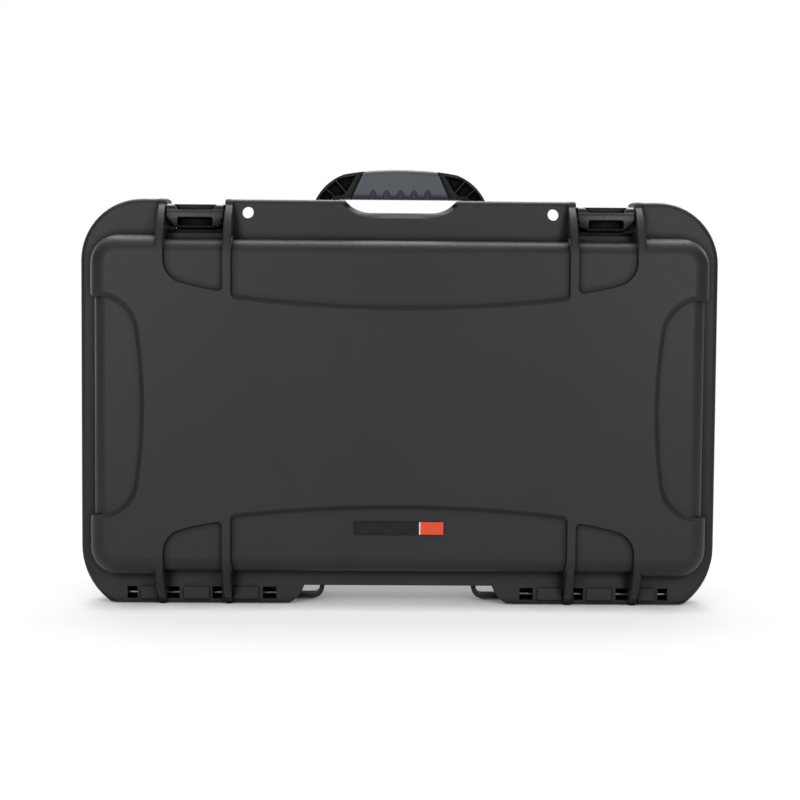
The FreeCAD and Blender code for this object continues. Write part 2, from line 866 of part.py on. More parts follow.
def skid(name, side):
    """A strip that leaves the hinge end of the flange and turns up to it again, as a loop."""
    root = raise_half + size.raise_slant + size.overrun
    inner = raise_half + size.raise_slant - size.skid_width
    turn = size.skid_turn
    thick = size.skid_thick
    low = size.skid_lift
    outer_bend = turn * QUARTER_SHARE
    inner_bend = thick + (turn - thick) * QUARTER_SHARE
    top = size.raise_height + size.overrun
    return deep(name, [[
        (root * side, low), ((inner + turn) * side, low), via((inner + outer_bend) * side, low + outer_bend),
        (inner * side, low + turn), (inner * side, top), ((inner + thick) * side, top),
        ((inner + thick) * side, low + turn), via((inner + inner_bend) * side, low + inner_bend),
        ((inner + turn) * side, low + thick), (root * side, low + thick),
    ]], parting, flange_y)


def wheel_height(level):
    return mid_z + (dome_rise - size.wheel_set) * level


def wheel_well(name, level, wall, axle_wall):
    """The space of one wheel, or with walls the housing that bulges into the tub."""
    reach = size.wheel_round / 2 + size.well_gap + wall
    half = size.wheel_width / 2 + size.well_gap
    near = wheel_height(level) - (half + axle_wall) * level
    far = wheel_height(level) + half * level
    if wall.value:
        far = mid_z + size.case_height / 2 * level
    height = (near, far) if level > 0 else (far, near)
    length = (-half_width - size.overrun, wheel_x + reach)
    return block(name, length, (wheel_y - reach, back_y + size.overrun), height)


def channel(name, wall):
    """The trough of the pull handle with the wider bay of its grip, or with a wall its housing."""
    half = size.channel_width / 2 + wall
    bay_half = size.grip_bay_width / 2 + wall
    depth = (channel_floor - wall, back_y + size.overrun)
    right = half_width + size.overrun
    trough = block(f"{name}_trough", (size.channel_start - half_width - wall, right), depth,
                   (mid_z - half, mid_z + half))
    bay = block(f"{name}_bay", (half_width - size.grip_bay - wall, right), depth,
                (mid_z - bay_half, mid_z + bay_half))
    return [trough, bay]


def lever_bore(name, side):
    """The seat of one latch's pivot pin in the two ribs beside it."""
    start = latch_x * side - (bay_outer - bay_inner) / 2 - size.lever_pin_seat
    length = bay_outer - bay_inner + size.lever_pin_seat * 2
    return rod(name, "x", (start, lever_y, lever_z), length, size.lever_pin + size.fit_gap * 2)


def lug_ends(side):
    """Two ends along X of one carry handle lug."""
    near = (size.handle_width / 2 + size.lug_gap) * side
    far = (size.handle_width / 2 + size.lug_gap + size.lug_thick) * side
    return (near, far) if side > 0 else (far, near)


def handle_bore(name, side):
    """The bore of one carry handle pin, through its lug and the handle's arm."""
    length = size.handle_arm + size.lug_gap + size.lug_thick
    start = (size.handle_width / 2 - size.handle_arm) * side
    left = start if side > 0 else start - length
    return rod(name, "x", (left, handle_y, handle_z), length, size.handle_pin + size.fit_gap * 2)


def screw_places():
    """Where the screws of the pull handle's clamp and collar sit, in X and Z."""
    clamp_x = size.channel_start - half_width + size.fit_gap + size.clamp_length / 2
    collar_x = half_width - size.grip_bay - size.collar_length / 2
    heights = [mid_z + size.screw_spacing / 2 * level for level in (-1, 1)]
    return [(x, z) for x in (clamp_x, collar_x) for z in heights]


def build_base():
    """The base: flange, hollow tub, ribs, runners, hinge knuckles, lugs, wheel wells and trough."""
    tub = dome("tub_solid", as_size(0), parting, tub_back, tub_slope, size.dome_round)
    hollow = dome("tub_hollow", size.tub_wall, parting, tub_back - size.tub_wall, tub_slope,
                  size.dome_round - size.tub_wall)
    rim_start = parting - size.overrun
    rim = cut("base_flange_open", flange("base_flange_solid", parting, flange_y, size.flange_round),
              flange_cuts("base_open", rim_start, flange_y + size.overrun, rim_start))
    added = [tub, rim]
    housings = channel("housing", size.tub_wall)
    cuts = channel("trough", as_size(0))
    for word, x in (("outer", rib_outer), ("inner", rib_inner)):
        for name, side in (("left", -1), ("right", 1)):
            added.append(place(base_rib(f"base_rib_{word}_{name}"), x * side))
    for word, level in (("lower", -1), ("upper", 1)):
        cuts.append(wheel_well(f"well_{word}", level, as_size(0), as_size(0)))
        housings.append(wheel_well(f"well_housing_{word}", level, size.tub_wall,
                                   size.axle_seat + size.tub_wall))
        axle_length = size.wheel_width + (size.well_gap + size.axle_seat) * 2
        axle_start = (wheel_x, wheel_y, wheel_height(level) - axle_length / 2)
        cuts.append(rod(f"axle_bore_{word}", "z", axle_start, axle_length,
                        size.axle_round + size.fit_gap * 2))
    for word, side in (("left", -1), ("right", 1)):
        added.append(skid(f"skid_{word}", side))
        for number, shares in enumerate(KNUCKLE_SHARES, start=1):
            ends = hinge_ends(side, shares)
            added.append(rod(f"knuckle_{word}_{number}", "x", (ends[0], hinge_y, size.hinge_height),
                             ends[1] - ends[0], size.knuckle_round))
            web = size.knuckle_web / 2
            added.append(block(f"knuckle_web_{word}_{number}", ends, (hinge_y, flange_y),
                               (size.hinge_height - web, size.hinge_height + web)))
        lug = lug_ends(side)
        added.append(rod(f"lug_eye_{word}", "x", (lug[0], handle_y, handle_z), size.lug_thick,
                         size.lug_round))
        lug_depth = (flange_y - size.overrun, handle_y + size.lug_round / 2)
        added.append(block(f"lug_root_{word}", lug, lug_depth, (dome_high - size.lug_root, handle_z)))
        for name, level in (("low", -1), ("high", 1)):
            foot_left = (half_width - size.foot_inset) * side - size.foot_length / 2
            foot_mid = size.grip_bay_width / 2 + size.foot_gap + size.foot_width / 2
            foot_low = mid_z + foot_mid * level - size.foot_width / 2
            added.append(block(f"foot_{word}_{name}", (foot_left, foot_left + size.foot_length),
                               (tub_back - size.overrun, back_y), (foot_low, foot_low + size.foot_width)))
        cuts.append(hinge_bore(f"base_bore_{word}", side))
        cuts.append(lever_bore(f"lever_bore_{word}", side))
        cuts.append(handle_bore(f"lug_bore_{word}", side))
    boss_low = dome_high - size.valve_stem_length
    boss_rise = size.valve_stem_length + size.valve_boss_rise
    added.append(rod("valve_boss", "z", (valve_x, valve_y, boss_low), boss_rise, size.valve_boss))
    cuts.append(rod("valve_hole", "z", (valve_x, valve_y, boss_low), boss_rise,
                    size.valve_stem + size.fit_gap * 2))
    for number, (x, z) in enumerate(screw_places(), start=1):
        cuts.append(rod(f"screw_hole_{number}", "y", (x, channel_floor - size.screw_bite, z),
                        size.screw_bite, size.screw_shank + size.fit_gap * 2))
    skin = fuse("base_skin", added)
    space = cut("tub_space", hollow, housings)
    keep(cut("base_whole", skin, [space] + cuts), "base_shell")


def build_hinge_pins():
    for word, side in (("left", -1), ("right", 1)):
        start = (hinge_inner if side > 0 else -hinge_outer) + size.hinge_pin_margin + size.fit_gap
        length = size.hinge_length - (size.hinge_pin_margin + size.fit_gap) * 2
        keep(rod(f"pin_{word}", "x", (start, hinge_y, size.hinge_height), length, size.hinge_pin),
             f"hinge_pin_{word}")


def build_valve():
    """The pressure valve in the wall beside the carry handle."""
    seat = dome_high + size.valve_boss_rise
    stem = rod("valve_plug", "z", (valve_x, valve_y, dome_high - size.valve_stem_length),
               size.valve_stem_length + size.valve_boss_rise, size.valve_stem)
    disc = rod("valve_disc", "z", (valve_x, valve_y, seat), size.valve_flange_thick, size.valve_flange)
    keep(fuse("valve_joined", [stem, disc]), "valve_body")
    keep(rod("valve_lid", "z", (valve_x, valve_y, seat + size.valve_flange_thick), size.valve_cap_thick,
             size.valve_cap), "valve_cap")


def lever_outline(inset):
    """The side of a latch lever's plate, or with an inset the hollow under it."""
    front = claw_y + size.lever_front + inset
    end = lever_y + size.lever_length - inset
    top = bay_floor + size.lever_top - inset
    low = bay_floor + size.lever_low
    drop = top - size.lever_drop
    if inset.value:
        return [(front, low - size.overrun), (front, top), (end - size.lever_slope, top), (end, drop),
                (end, low - size.overrun)]
    tip = end + size.lever_lip
    lip_low = drop - size.lever_lip_thick
    return [(front, low), (front, top), (end - size.lever_slope, top), (end, drop), (tip, drop),
            (tip, lip_low), (end, lip_low), (end, low)]


def build_lever(word, x):
    """One latch lever: a hollow plate with a finger lip, a hub on its pin and a boss for the claw."""
    hub_half = size.lever_hub / 2
    eye_half = size.claw_eye / 2
    web_start = (-size.lever_web / 2, lever_y, lever_z)
    boss_start = (-size.lever_web / 2, claw_y, claw_z)
    root = claw_y + size.lever_front + size.lever_thick
    solid = across(f"lever_side_{word}", [lever_outline(as_size(0))], latch_width)
    hollow = across(f"lever_hollow_{word}", [lever_outline(size.lever_thick)],
                    latch_width - size.lever_thick * 2)
    plate = cut(f"lever_plate_{word}", solid, [hollow])
    web = across(f"lever_web_{word}", [[
        (lever_y, lever_z - hub_half), (root, lever_z - hub_half),
        (root, claw_z + eye_half * QUARTER_SHARE),
        (claw_y, claw_z + eye_half), (claw_y - eye_half, claw_z), (lever_y - hub_half, lever_z),
    ]], size.lever_web)
    hub = rod(f"lever_hub_{word}", "x", web_start, size.lever_web, size.lever_hub)
    boss = rod(f"lever_boss_{word}", "x", boss_start, size.lever_web, size.claw_eye)
    gap = size.slide_gap
    slot_half = size.slider_width / 2 + gap
    slot_start = claw_y + size.lever_front + size.slider_set - gap
    slot_end = slot_start + size.slider_length + size.slider_travel + gap * 2
    slot_low = bay_floor + size.lever_top - size.slider_sink
    tools = [
        rod(f"lever_bore_hub_{word}", "x", web_start, size.lever_web, size.lever_pin + size.fit_gap * 2),
        rod(f"lever_bore_boss_{word}", "x", boss_start, size.lever_web, size.claw_pin + size.fit_gap * 2),
        block(f"slider_slot_{word}", (-slot_half, slot_half), (slot_start, slot_end),
              (slot_low, slot_low + size.slider_thick)),
    ]
    lever = cut(f"lever_whole_{word}", fuse(f"lever_joined_{word}", [plate, web, hub, boss]), tools)
    keep(place(lever, x), f"latch_lever_{word}")


def build_claw(word, x):
    """One latch claw: a bowed nose over the lid's bay and two arms back to the lever."""
    half = latch_width / 2
    nose = brim_y - size.claw_nose
    low = bay_floor + size.claw_lift
    top = bay_floor + size.lever_top
    brow = size.claw_brow
    brow_bend = brow * QUARTER_SHARE
    heel = nose + size.claw_nose_thick
    rear = lever_y - size.lever_hub / 2 - size.claw_rear_gap
    under = top - size.claw_plate
    face = across(f"claw_side_{word}", [[
        (heel, low), (nose + size.claw_bow, low),
        via(nose - size.claw_bow * QUARTER_SHARE, (low + top - brow) / 2),
        (nose, top - brow), via(nose + brow_bend, top - brow_bend), (nose + brow, top),
        (rear, top), (rear, under), (heel + size.claw_bow, under), (heel, under - size.claw_bow),
    ]], latch_width)
    pieces = [face]
    tools = []
    eye_half = size.claw_eye / 2
    for name, side in (("near", -1), ("far", 1)):
        start = -half if side < 0 else half - size.claw_arm
        arm_end = (start, start + size.claw_arm)
        arm = block(f"claw_arm_{name}_{word}", arm_end, (rear - size.overrun, claw_y),
                    (claw_z - eye_half, claw_z + eye_half))
        eye = rod(f"claw_eye_{name}_{word}", "x", (start, claw_y, claw_z), size.claw_arm, size.claw_eye)
        pieces += [arm, eye]
    tools.append(rod(f"claw_bore_{word}", "x", (-half, claw_y, claw_z), latch_width,
                     size.claw_pin + size.fit_gap * 2))
    notch = size.claw_notch / 2
    notch_top = notch + size.claw_notch_slant
    notch_low = top - size.claw_notch_height
    front = nose - size.claw_bow
    tools.append(deep(f"claw_notch_{word}", [[
        (-notch, notch_low), (-notch_top, top), (-notch_top, top + size.overrun),
        (notch_top, top + size.overrun), (notch_top, top), (notch, notch_low),
    ]], front, nose + size.claw_notch_depth))
    pocket_low = low + size.claw_pocket_lift
    tools.append(deep(f"claw_pocket_{word}", [
        rounded_box(size.claw_pocket / 2, pocket_low, pocket_low + size.claw_pocket_height,
                    size.claw_pocket_corner),
    ], front, nose + size.claw_pocket_depth))
    cheek = half - size.claw_cheek
    cheek_top = low + size.claw_cheek_rise
    outside = half + size.overrun
    tools.append(deep(f"claw_cheeks_{word}", [[
        (cheek * side, low), (half * side, cheek_top), (outside * side, cheek_top),
        (outside * side, low - size.overrun), (cheek * side, low - size.overrun),
    ] for side in (-1, 1)], front, heel + size.overrun))
    claw = cut(f"claw_whole_{word}", fuse(f"claw_joined_{word}", pieces), tools)
    keep(place(claw, x), f"latch_claw_{word}")


def build_latches():
    for word, side in (("left", -1), ("right", 1)):
        x = latch_x * side
        build_lever(word, x)
        build_claw(word, x)
        slider_start = claw_y + size.lever_front + size.slider_set
        slider_low = bay_floor + size.lever_top - size.slider_sink + size.slide_gap
        keep(block(f"slider_{word}", (x - size.slider_width / 2, x + size.slider_width / 2),
                   (slider_start, slider_start + size.slider_length),
                   (slider_low, slider_low + size.slider_thick)), f"latch_slider_{word}")
        pin_length = bay_outer - bay_inner + (size.lever_pin_seat - size.fit_gap) * 2
        keep(rod(f"lever_pivot_{word}", "x", (x - pin_length / 2, lever_y, lever_z), pin_length,
                 size.lever_pin), f"latch_pivot_pin_{word}")
        keep(rod(f"claw_pivot_{word}", "x", (x - latch_width / 2, claw_y, claw_z), latch_width,
                 size.claw_pin), f"latch_claw_pin_{word}")


def grip_outline(gap):
    """The carry handle's soft grip seen from the lid, grown at its two ends by a gap."""
    top = handle_crown - size.grip_crown
    half_top = size.grip_top / 2 + gap
    half_low = half_top + size.grip_slant
    return [(-half_low, grip_under), (-half_top, top), via(0, handle_crown), (half_top, top),
            (half_low, grip_under)]


def grip_edge(edge):
    """A test for the grip's long edges, front and back."""
    box = edge.BoundBox
    return box.YLength < size.fit_gap.value and box.ZLength < size.grip_round.value


def build_handle():
    """The carry handle: a frame with trussed shoulders, its soft grip and two pivot pins."""
    half = size.handle_width / 2
    foot = handle_z - size.handle_eye / 2
    crest = handle_crown - size.handle_crest
    shoulder = size.case_height + size.handle_shoulder
    crest_half = size.handle_crest_width / 2
    arm = half - size.handle_arm
    arm_top = size.case_height - size.handle_arm_drop
    inner_rise = grip_under - arm_top
    inner_bend = inner_rise * QUARTER_SHARE
    bend = (half * SHOULDER_SHARES[0], size.case_height + size.handle_top * SHOULDER_SHARES[1])
    front = handle_y - size.handle_thick / 2
    back = handle_y + size.handle_thick / 2
    hoop = deep("handle_hoop", [[
        (-half, foot), (-half, shoulder), via(-bend[0], bend[1]), (-crest_half, crest),
        via(0, handle_crown), (crest_half, crest), via(bend[0], bend[1]),
        (half, shoulder), (half, foot), (arm, foot), (arm, arm_top),
        via(arm - inner_bend, grip_under - inner_bend), (arm - inner_rise, grip_under),
        (inner_rise - arm, grip_under), via(inner_bend - arm, grip_under - inner_bend), (-arm, arm_top),
        (-arm, foot),
    ]], front, back)
    windows = []
    for side in (-1, 1):
        for shares in TRUSS_SHARES:
            windows.append([(half * across_share * side, size.case_height + size.handle_top * up_share)
                            for across_share, up_share in shares])
    clear_front = handle_y - size.grip_thick / 2 - size.overrun
    clear_back = handle_y + size.grip_thick / 2 + size.overrun
    above = size.overrun
    low_left, top_left, crown, top_right, low_right = grip_outline(size.fit_gap)
    room = [(low_left[0], grip_under - above), low_left, top_left, (top_left[0], handle_crown + above),
            (top_right[0], handle_crown + above), top_right, low_right, (low_right[0], grip_under - above)]
    core_low = (grip_under + handle_crown) / 2 - size.core_height / 2
    core_half = size.core_width / 2
    core = block("handle_core", (-core_half, core_half),
                 (handle_y - size.core_thick / 2, handle_y + size.core_thick / 2),
                 (core_low, core_low + size.core_height))
    tools = [deep("handle_pockets_front", windows, clear_front, handle_y - size.handle_web / 2),
             deep("handle_pockets_back", windows, handle_y + size.handle_web / 2, clear_back),
             deep("grip_room", [room], clear_front, clear_back)]
    shoulders = cut("handle_shoulders", hoop, tools)
    bores = [handle_bore(f"arm_bore_{word}", side) for word, side in (("left", -1), ("right", 1))]
    keep(cut("handle_whole", fuse("handle_joined", [shoulders, core]), bores), "handle_frame")
    gap = size.fit_gap
    grip_front = handle_y - size.grip_thick / 2
    grip_back = handle_y + size.grip_thick / 2
    sleeve = deep("grip_sleeve", [grip_outline(as_size(0))], grip_front, grip_back)
    rounded(sleeve, size.grip_round, grip_edge)
    grip_tools = [block("core_room", (-half, half),
                        (handle_y - size.core_thick / 2 - gap, handle_y + size.core_thick / 2 + gap),
                        (core_low - gap, core_low + size.core_height + gap))]
    groove_top = grip_under + size.grip_groove_start
    for number, step in enumerate(GROOVE_STEPS, start=1):
        groove_start = (size.grip_pitch * step, grip_front - size.grip_groove, groove_top)
        grip_tools.append(rod(f"grip_groove_{number}", "slant", groove_start, size.grip_height,
                              size.grip_groove))
    keep(cut("grip_whole", sleeve, grip_tools), "handle_grip")
    pins = []
    for word, side in (("left", -1), ("right", 1)):
        length = size.handle_arm + size.lug_gap + size.lug_thick
        start = (half - size.handle_arm) * side
        left = start if side > 0 else start - length
        pins.append(rod(f"handle_pin_{word}", "x", (left, handle_y, handle_z), length, size.handle_pin))
    keep(fuse("handle_pins", pins), "handle_pivot_pins")


def build_wheels():
    """Two wheels in the corner wells: tyre, spoked hub, a pair of bearings and an axle each."""
    tyre_half = size.wheel_width / 2
    hub_half = size.hub_width / 2
    web_half = size.hub_web / 2
    outer = size.wheel_round / 2
    rim = size.hub_round / 2
    rim_inner = rim - size.hub_rim
    boss = size.hub_boss / 2
    seat = size.bearing_round / 2
    edge = size.wheel_edge
    bend = edge * QUARTER_SHARE
    for word, level in (("lower", -1), ("upper", 1)):
        centre = (wheel_x, wheel_y, wheel_height(level))
        tyre = spun(f"tyre_{word}", [
            (rim, -tyre_half), (outer - edge, -tyre_half), via(outer - bend, bend - tyre_half),
            (outer, edge - tyre_half), (outer, tyre_half - edge), via(outer - bend, tyre_half - bend),
            (outer - edge, tyre_half), (rim, tyre_half),
        ])
        keep(place(tyre, *centre), f"wheel_tyre_{word}")
        disc = spun(f"hub_{word}", [
            (seat, -hub_half), (boss, -hub_half), (boss, -web_half), (rim_inner, -web_half),
            (rim_inner, -hub_half), (rim, -hub_half), (rim, hub_half), (rim_inner, hub_half),
            (rim_inner, web_half), (boss, web_half), (boss, hub_half), (seat, hub_half),
        ])
        holes = []
        for number in range(SPOKE_HOLES):
            angle = math.tau * number / SPOKE_HOLES
            middle = (rim_inner + boss) / 2
            start = (middle * math.cos(angle), middle * math.sin(angle), -hub_half)
            holes.append(rod(f"spoke_hole_{word}_{number}", "z", start, size.hub_width, size.spoke_hole))
        keep(place(cut(f"hub_whole_{word}", disc, holes), *centre), f"wheel_hub_{word}")
        bore = size.axle_round / 2 + size.fit_gap
        rings = []
        for name, end in (("near", -1), ("far", 1)):
            ring = spun(f"bearing_{word}_{name}", [
                (bore, hub_half * end), (seat, hub_half * end), (seat, (hub_half - size.bearing_width) * end),
                (bore, (hub_half - size.bearing_width) * end),
            ])
            rings.append(place(ring, *centre))
        keep(fuse(f"bearings_{word}", rings), f"wheel_bearings_{word}")
        length = size.wheel_width + (size.well_gap + size.axle_seat - size.fit_gap) * 2
        keep(rod(f"axle_{word}", "z", (wheel_x, wheel_y, wheel_height(level) - length / 2), length,
                 size.axle_round), f"wheel_axle_{word}")


def tube_pair(name, left, right, diameter, wall):
    """Two tubes side by side along X."""
    tubes = []
    for word, level in (("lower", -1), ("upper", 1)):
        start = (left, tube_y, mid_z + size.tube_spacing / 2 * level)
        skin = rod(f"{name}_skin_{word}", "x", start, right - left, diameter)
        tubes.append(cut(f"{name}_{word}", skin,
                         [rod(f"{name}_bore_{word}", "x", start, right - left, diameter - wall * 2)]))
    return fuse(f"{name}_pair", tubes)


def clamp(name, left, right):
    """A bridge over the trough's floor that holds the two outer tubes."""
    depth = (channel_floor, channel_floor + size.clamp_height)
    half = size.tube_spacing / 2
    pieces = [block(f"{name}_web", (left, right), (channel_floor, channel_floor + size.clamp_web),
                    (mid_z - half, mid_z + half))]
    tools = []
    for word, level in (("lower", -1), ("upper", 1)):
        z = mid_z + half * level
        pieces.append(block(f"{name}_tower_{word}", (left, right), depth,
                            (z - size.clamp_width / 2, z + size.clamp_width / 2)))
        tools.append(rod(f"{name}_bore_{word}", "x", (left, tube_y, z), right - left,
                         size.outer_tube + size.fit_gap * 2))
    for number, (x, z) in enumerate(screw_places(), start=1):
        if left.value < x.value < right.value:
            tools.append(rod(f"{name}_hole_{number}", "y", (x, channel_floor, z), size.clamp_web,
                             size.screw_shank + size.fit_gap * 2))
    return cut(f"{name}_whole", fuse(f"{name}_joined", pieces), tools)


def build_pull_handle():
    """The telescopic handle: clamp, collar, three pairs of tubes, grip, release button and screws."""
    left = size.channel_start - half_width + size.fit_gap
    collar_end = half_width - size.grip_bay
    keep(clamp("tail", left, left + size.clamp_length), "pull_clamp")
    keep(clamp("head", collar_end - size.collar_length, collar_end), "pull_collar")
    keep(tube_pair("outer", left, collar_end, size.outer_tube, size.outer_tube_wall), "pull_outer_tubes")
    keep(tube_pair("middle", left + size.tube_step, collar_end + size.tube_step, size.middle_tube,
                   size.middle_tube_wall), "pull_middle_tubes")
    grip_right = half_width - size.pull_grip_edge
    grip_left = grip_right - size.pull_grip_thick
    keep(tube_pair("inner", left + size.tube_step * 2, grip_left + size.pull_seat, size.inner_tube,
                   size.inner_tube_wall), "pull_inner_tubes")
    half = size.pull_grip / 2
    front = tube_y - size.pull_grip_depth / 2
    back = tube_y + size.pull_grip_depth / 2
    bar_outline = rounded_area(grip_left, grip_right, mid_z - half, mid_z + half, size.pull_grip_corner)
    bar = deep("pull_bar", [bar_outline], front, back)
    rounded(bar, size.pull_grip_round, lambda edge: at_depth(front)(edge) or at_depth(back)(edge))
    tools = []
    for word, level in (("lower", -1), ("upper", 1)):
        tools.append(rod(f"pull_seat_{word}", "x", (grip_left, tube_y, mid_z + size.tube_spacing / 2 * level),
                         size.pull_seat, size.inner_tube + size.fit_gap * 2))
    gap = size.slide_gap
    button_left = grip_right - size.button_depth
    room_half = size.button_width / 2 + gap
    room_deep = size.button_height / 2 + gap
    tools.append(block("button_room", (button_left - size.button_travel - gap, grip_right + size.overrun),
                       (tube_y - room_deep, tube_y + room_deep), (mid_z - room_half, mid_z + room_half)))
    keep(cut("pull_grip_whole", bar, tools), "pull_grip")
    keep(block("button", (button_left, grip_right + size.button_proud),
               (tube_y - size.button_height / 2, tube_y + size.button_height / 2),
               (mid_z - size.button_width / 2, mid_z + size.button_width / 2)), "pull_button")
    screws = []
    head_y = channel_floor + size.clamp_web
    for number, (x, z) in enumerate(screw_places(), start=1):
        shank = rod(f"screw_shank_{number}", "y", (x, channel_floor - size.screw_bite, z),
                    size.screw_bite + size.clamp_web, size.screw_shank)
        head = rod(f"screw_head_{number}", "y", (x, head_y, z), size.screw_head_thick, size.screw_head)
        screws.append(fuse(f"screw_{number}", [shank, head]))
    keep(fuse("screws", screws), "pull_screws")


build_lid()
build_badge()
build_base()
build_hinge_pins()
build_valve()
build_latches()
build_handle()
build_wheels()
build_pull_handle()

doc.recompute()
for item in doc.Objects:
    faults = [state for state in item.State if state in ("Invalid", "Error")]
    if faults:
        raise RuntimeError(f"{item.Name} failed: {faults}")
os.makedirs("parts", exist_ok=True)
for node in nodes:
    if node.Shape.isNull() or not node.Shape.isValid():
        raise RuntimeError(f"{node.Label} has no valid shape")
    print(node.Label, len(node.Shape.Solids), round(node.Shape.Volume / 1000, 2))
    node.Shape.exportStep(f"parts/{node.Label}.step")
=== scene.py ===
"""Looks of the hard carry case: plastics, rubber, metal and badge trim, with a plain studio and camera.

Every place is in metres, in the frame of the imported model: X along the case, Y towards its back, Z up.
"""
import json
import math

import bmesh
import bpy
from mathutils import Matrix, Vector


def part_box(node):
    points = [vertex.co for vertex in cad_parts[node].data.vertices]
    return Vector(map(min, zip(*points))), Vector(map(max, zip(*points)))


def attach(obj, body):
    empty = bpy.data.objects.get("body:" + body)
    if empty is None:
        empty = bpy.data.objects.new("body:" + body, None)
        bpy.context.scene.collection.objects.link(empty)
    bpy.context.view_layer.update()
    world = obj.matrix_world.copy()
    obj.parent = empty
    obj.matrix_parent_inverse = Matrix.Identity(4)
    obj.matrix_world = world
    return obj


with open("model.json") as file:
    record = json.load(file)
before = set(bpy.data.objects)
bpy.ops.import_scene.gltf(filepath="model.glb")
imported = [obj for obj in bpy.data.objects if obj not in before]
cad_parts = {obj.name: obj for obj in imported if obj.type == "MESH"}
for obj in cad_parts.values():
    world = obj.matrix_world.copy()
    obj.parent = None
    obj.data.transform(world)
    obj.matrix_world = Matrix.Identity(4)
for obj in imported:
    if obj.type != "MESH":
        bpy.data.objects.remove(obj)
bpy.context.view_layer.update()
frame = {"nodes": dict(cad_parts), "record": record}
scene = bpy.context.scene

# Camera of the photograph: place, turns in degrees, reach, and focal length in pixels of an 800 pixel frame
CAMERA_PLACE = Vector((-0.0191, -1.4845, 0.2592))
CAMERA_PITCH = 3.185
CAMERA_YAW = 0.801
CAMERA_ROLL = 0.4226
CAMERA_REACH = 100
FOCAL_PIXELS = 1595
FRAME_PIXELS = 800
SENSOR_WIDTH = 36

# Linear colours of the pieces
CASE_BLACK = (0.0245, 0.0236, 0.0252)
LATCH_BLACK = (0.0115, 0.0115, 0.0120)
FITTING_BLACK = (0.0165, 0.0165, 0.0170)
BUTTON_BLACK = (0.0180, 0.0180, 0.0190)
HUB_GREY = (0.0320, 0.0320, 0.0330)
GRIP_GREY = (0.0400, 0.0485, 0.0580)
SEAL_BLACK = (0.0100, 0.0100, 0.0100)
TYRE_BLACK = (0.0160, 0.0160, 0.0165)
BADGE_BLACK = (0.0095, 0.0090, 0.0095)
BADGE_RED = (0.8600, 0.0900, 0.0400)
BADGE_WHITE = (0.7800, 0.7700, 0.7500)
STEEL_GREY = (0.2200, 0.2150, 0.2100)
TUBE_GREY = (0.0550, 0.0560, 0.0590)

# Surface patterns, in waves along a metre
PLASTIC_PATCHES = 9
PLASTIC_SPECKS = 320
PLASTIC_WEAR = 60
RUBBER_PATCHES = 28
RUBBER_SPECKS = 700
RUBBER_PEBBLES = 1400
METAL_PATCHES = 40
METAL_LINES = 2200
PRINT_PATCHES = 160
PRINT_MARKS = 900
FLOOR_PATCHES = 2

# Depths of the bumps that the patterns make
GRAIN_DEPTH = 0.00012
SPECK_DEPTH = 0.0002
PEBBLE_DEPTH = 0.0001
LINE_DEPTH = 0.00005
MARK_DEPTH = 0.00002

# Radii that edges are rounded to in the light
RUBBER_EDGE = 0.0012
METAL_EDGE = 0.0006
PRINT_EDGE = 0.0003

# Shares of white on tone patches and worn edges, shares of painted shade in corners, and roughness lost to
# wear
PATCH_PALENESS = 0.0042
WEAR_PALENESS = 0.03
PLASTIC_PAINTED_SHADE = 0.9
METAL_PAINTED_SHADE = 0.8
WEAR_POLISH = 0.06

# Rays that look for edges and corners, cosines that tell an edge from a flat, and roundness of the cells
EDGE_SAMPLES = 6
CORNER_SAMPLES = 8
EDGE_COSINES = (0.86, 0.995)
CELL_SMOOTHNESS = 0.6

# Places of the colours on a mix node, whose sockets share their names
MIX_FIRST = 6
MIX_SECOND = 7
MIX_RESULT = 2

# Pale line on the badge
BADGE_LINE_WIDTH = 0.0012
BADGE_LINE_PROUD = 0.00006

# Floor: half its side, its tone to the eye and to bouncing light, the distances over which it fades to white,
# how far a painted glow lifts its shadow, and how far from the case a painted contact shadow reaches
FLOOR_REACH = 12
FLOOR_WHITE = (0.9200, 0.9200, 0.9200)
FLOOR_GREY = (0.1300, 0.1300, 0.1300)
FLOOR_FADE = (0.25, 0.8)
FLOOR_LIFT = 0.72
FLOOR_CONTACT = 0.04

# Light: where the lamps point, their tints, the level from all round, and how dark reflections get towards
# the sides and the front, with the directions between which they darken
LAMP_TARGET = Vector((0, 0, 0.18))
PLAIN_WHITE = (1, 1, 1)
COOL_WHITE = (0.92, 0.95, 1)
WARM_WHITE = (1, 0.98, 0.96)
WORLD_LIGHT = 0.22
SIDE_DARKNESS = 0.14
SIDE_START = (0.45, 0.85)
FRONT_DARKNESS = 0.3
FRONT_START = (-0.6, 0.1)


class Nodes:
    """A node tree, with short names for what most trees need."""

    def __init__(self, tree):
        self.tree = tree

    def add(self, kind, **settings):
        node = self.tree.nodes.new(kind)
        for name, value in settings.items():
            setattr(node, name, value)
        return node

    def feed(self, socket, value):
        """Gives a socket a number, a colour or the output of another node."""
        if isinstance(value, (int, float)):
            socket.default_value = value
        elif isinstance(value, tuple):
            socket.default_value = (*value, 1)
        else:
            self.tree.links.new(value, socket)

    def wire(self, node, values):
        """Feeds several sockets of a node, by name."""
        for name, value in values.items():
            self.feed(node.inputs[name], value)

    def maths(self, operation, *values):
        node = self.add("ShaderNodeMath", operation=operation)
        for socket, value in zip(node.inputs, values):
            self.feed(socket, value)
        return node.outputs["Value"]

    def spread(self, source, low, high, start=0.3, end=0.7):
        """Maps a value from the range of start to end onto that of low to high."""
        node = self.add("ShaderNodeMapRange")
        self.wire(node, {"Value": source, "From Min": start, "From Max": end, "To Min": low, "To Max": high})
        return node.outputs["Result"]

    def mix(self, share, first, second):
        """A colour between two others."""
        node = self.add("ShaderNodeMix", data_type="RGBA")
        self.feed(node.inputs["Factor"], share)
        self.feed(node.inputs[MIX_FIRST], first)
        self.feed(node.inputs[MIX_SECOND], second)
        return node.outputs[MIX_RESULT]


